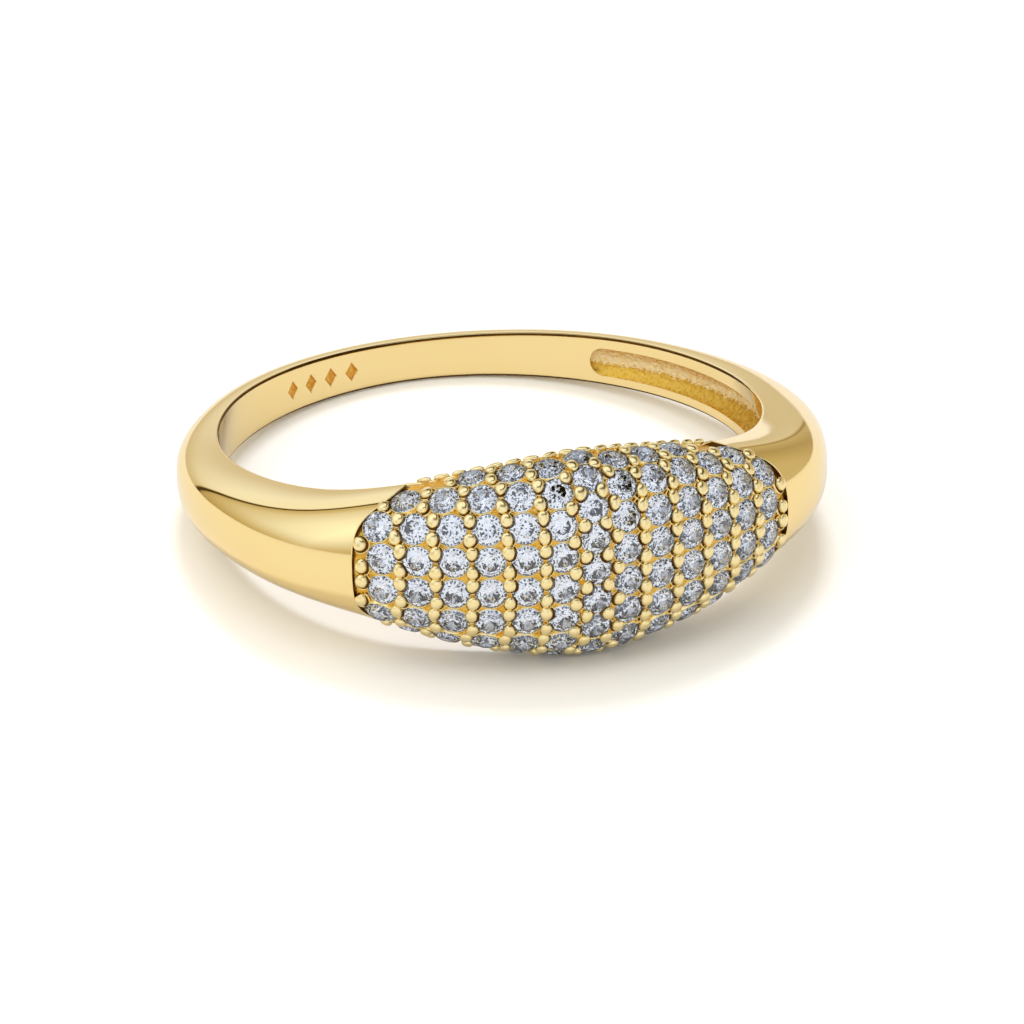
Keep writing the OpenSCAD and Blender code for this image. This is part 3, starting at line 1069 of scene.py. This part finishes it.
def add_camera():
    """Camera that sees the ring's middle at its place in the photograph, along the fitted direction."""
    data = bpy.data.cameras.new("camera")
    camera = bpy.data.objects.new("camera", data)
    bpy.context.collection.objects.link(camera)
    focal_pixels = pixels_per_mm * camera_distance
    data.sensor_width = 36.0
    data.lens = focal_pixels * data.sensor_width / PHOTO_SIDE
    data.clip_start = 0.02
    data.clip_end = 20.0
    ahead = from_camera_frame((0, math.cos(camera_rise), -math.sin(camera_rise)))
    right = from_camera_frame((1, 0, 0))
    up = from_camera_frame((0, math.sin(camera_rise), math.cos(camera_rise)))
    right_off = PHOTO_SIDE / 2 - ring_pixel[0]
    up_off = ring_pixel[1] - PHOTO_SIDE / 2
    aim = (ahead * focal_pixels + right * right_off + up * up_off).normalized()
    side = aim.cross(up).normalized()
    over = side.cross(aim)
    turn = Matrix((side, over, -aim)).transposed()
    camera.matrix_world = turn.to_4x4()
    camera.location = Vector(ring_middle) - ahead * camera_distance * MM
    bpy.context.scene.camera = camera


add_camera()


def sky_math(tree, operation, *values):
    """One sum on numbers or outputs of other nodes."""
    node = tree.nodes.new("ShaderNodeMath")
    node.operation = operation
    for socket, value in zip(node.inputs, values):
        if isinstance(value, (int, float)):
            socket.default_value = value
        else:
            tree.links.new(value, socket)
    return node.outputs["Value"]


def sky_step(tree, value, start, end):
    """Rises smoothly from 0 at start to 1 at end."""
    node = tree.nodes.new("ShaderNodeMapRange")
    node.interpolation_type = "SMOOTHSTEP"
    node.inputs["From Min"].default_value = start
    node.inputs["From Max"].default_value = end
    tree.links.new(value, node.inputs["Value"])
    return node.outputs["Result"]


def sky_curve(tree, value, stops):
    """Brightness along one angle: stops are (degrees, level), joined by straight runs."""
    first, last = stops[0][0], stops[-1][0]
    node = tree.nodes.new("ShaderNodeMapRange")
    node.inputs["From Min"].default_value = first
    node.inputs["From Max"].default_value = last
    tree.links.new(value, node.inputs["Value"])
    ramp = tree.nodes.new("ShaderNodeValToRGB")
    tree.links.new(node.outputs["Result"], ramp.inputs["Fac"])
    top = max(level for _, level in stops)
    elements = ramp.color_ramp.elements
    inner = [elements.new((at - first) / (last - first)) for at, _ in stops[1:-1]]
    for element, (_, level) in zip([elements[0], *inner, elements[-1]], stops):
        element.color = (level / top, level / top, level / top, 1)
    return sky_math(tree, "MULTIPLY", ramp.outputs["Color"], top)


def sky_tint(tree, level, tints):
    """Colour of the light by its level: tints are (level, colour), joined by straight runs."""
    ramp = tree.nodes.new("ShaderNodeValToRGB")
    tree.links.new(level, ramp.inputs["Fac"])
    elements = ramp.color_ramp.elements
    inner = [elements.new(at) for at, _ in tints[1:-1]]
    for element, (at, colour) in zip([elements[0], *inner, elements[-1]], tints):
        element.position = at
        element.color = (*colour, 1)
    return ramp.outputs["Color"]


def sky_box(tree, across, rise, box, soft):
    """1 inside a box of (left, right, bottom, top) degrees, fading to 0 at its soft edges."""
    left, right, bottom, top = box
    sides = sky_math(
        tree, "MULTIPLY", sky_step(tree, across, left - soft, left + soft),
        sky_step(tree, across, right + soft, right - soft),
    )
    ends = sky_math(
        tree, "MULTIPLY", sky_step(tree, rise, bottom - soft, bottom + soft),
        sky_step(tree, rise, top + soft, top - soft),
    )
    return sky_math(tree, "MULTIPLY", sides, ends)


# Colours of the light: by its level in mirrored rays, in diffuse rays, and in rays through a stone
MIRROR_TINTS = [
    (0.05, (1.0, 0.74, 0.3)), (0.35, (1.0, 0.8, 0.42)), (0.6, (1.0, 0.88, 0.6)),
    (0.8, (0.98, 0.98, 1.0)), (0.95, (0.96, 1.03, 1.22)),
]
FILL_TINT = (1.0, 0.97, 0.9, 1)
STONE_TINT = (0.92, 0.97, 1.05, 1)
sky_fill = 0.62

# Lean of the seam between the left and back walls, in degrees of turn for each degree of rise
seam_slant = 0.354
darkest = 0.05


def add_world():
    """Studio round the ring, in degrees: turn is 0 behind it and positive towards +X, rise is height."""
    world = bpy.data.worlds.new("studio")
    world.use_nodes = True
    bpy.context.scene.world = world
    tree = world.node_tree
    backdrop = tree.nodes["Background"]
    coords = tree.nodes.new("ShaderNodeTexCoord")
    split = tree.nodes.new("ShaderNodeSeparateXYZ")
    tree.links.new(coords.outputs["Generated"], split.inputs["Vector"])
    x, y, z = (split.outputs[i] for i in range(3))
    degrees = 180 / math.pi
    turn = sky_math(tree, "MULTIPLY", sky_math(tree, "ARCTAN2", x, y), degrees)
    rise = sky_math(tree, "MULTIPLY", sky_math(tree, "ARCSINE", z), degrees)
    slanted = sky_math(tree, "SUBTRACT", turn, sky_math(tree, "MULTIPLY", rise, seam_slant))
    back = sky_curve(tree, rise, [(0, 0.66), (6, 0.73), (12, 0.86), (20, 1.0), (38, 1.02)])
    left_rise = sky_curve(tree, rise, [(0, 0.56), (12, 0.76), (24, 0.92), (48, 1.05)])
    left_turn = sky_curve(
        tree, turn, [(-135, 0.85), (-100, 1.25), (-86, 1.12), (-62, 1.0), (-30, 0.8), (-18, 0.62)]
    )
    right = sky_curve(tree, turn, [(30, 0.6), (42, 0.46), (66, 0.62), (90, 0.64), (120, 0.9)])
    panels = [
        (back, sky_box(tree, slanted, rise, (-24.5, 500, -20, 39), 1.5), (-400, 31)),
        (sky_math(tree, "MULTIPLY", left_rise, left_turn), sky_step(tree, slanted, -27, -30), (-134, 400)),
        (right, sky_box(tree, turn, rise, (31, 150, -20, 40), 2.0), (-400, 400)),
        (1.12, sky_step(tree, rise, 60, 66), (-400, 400)),
        (1.0, sky_box(tree, turn, rise, (-400, -134, -20, 48), 3.0), (-400, 400)),
        (0.95, sky_box(tree, turn, rise, (153, 400, -20, 48), 3.0), (-400, 400)),
    ]
    total = darkest
    for level, box, (low, high) in panels:
        kept = sky_math(
            tree, "MULTIPLY", sky_step(tree, turn, low - 2, low + 2),
            sky_step(tree, turn, high + 2, high - 2),
        )
        light = sky_math(tree, "MULTIPLY", sky_math(tree, "MULTIPLY", box, kept), level)
        total = sky_math(tree, "MAXIMUM", total, light)
    path = tree.nodes.new("ShaderNodeLightPath").outputs
    fill = sky_math(tree, "MULTIPLY_ADD", path["Is Diffuse Ray"], sky_fill, 1.0)
    shown = sky_math(tree, "MAXIMUM", path["Is Camera Ray"], sky_math(tree, "MULTIPLY", total, fill))
    tree.links.new(shown, backdrop.inputs["Strength"])
    mirrored = sky_tint(tree, total, MIRROR_TINTS)
    tint = mix_colours(tree, path["Is Glossy Ray"], (1, 1, 1, 1), mirrored)
    tint = mix_colours(tree, path["Is Diffuse Ray"], tint, FILL_TINT)
    tint = mix_colours(tree, path["Is Transmission Ray"], tint, STONE_TINT)
    tree.links.new(tint, backdrop.inputs["Color"])


key_turn, key_rise, key_distance = 18.0, 61.0, 0.35
key_size, key_power, key_colour = 0.09, 0.48, (0.95, 0.98, 1.08)


def add_key():
    """Broad lamp above and behind, seen only by matt things, that throws the soft shadow to the front."""
    data = bpy.data.lights.new("key", "AREA")
    data.shape = "SQUARE"
    data.size = key_size
    data.energy = key_power
    data.color = key_colour
    lamp = bpy.data.objects.new("key", data)
    bpy.context.collection.objects.link(lamp)
    turn, rise = math.radians(key_turn), math.radians(key_rise)
    way = Vector((math.sin(turn) * math.cos(rise), math.cos(turn) * math.cos(rise), math.sin(rise)))
    lamp.location = way * key_distance
    lamp.rotation_mode = "QUATERNION"
    lamp.rotation_quaternion = way.to_track_quat("Z", "Y")
    lamp.visible_glossy = False
    lamp.visible_transmission = False


add_world()
add_key()
bpy.context.scene.view_settings.view_transform = "Standard"
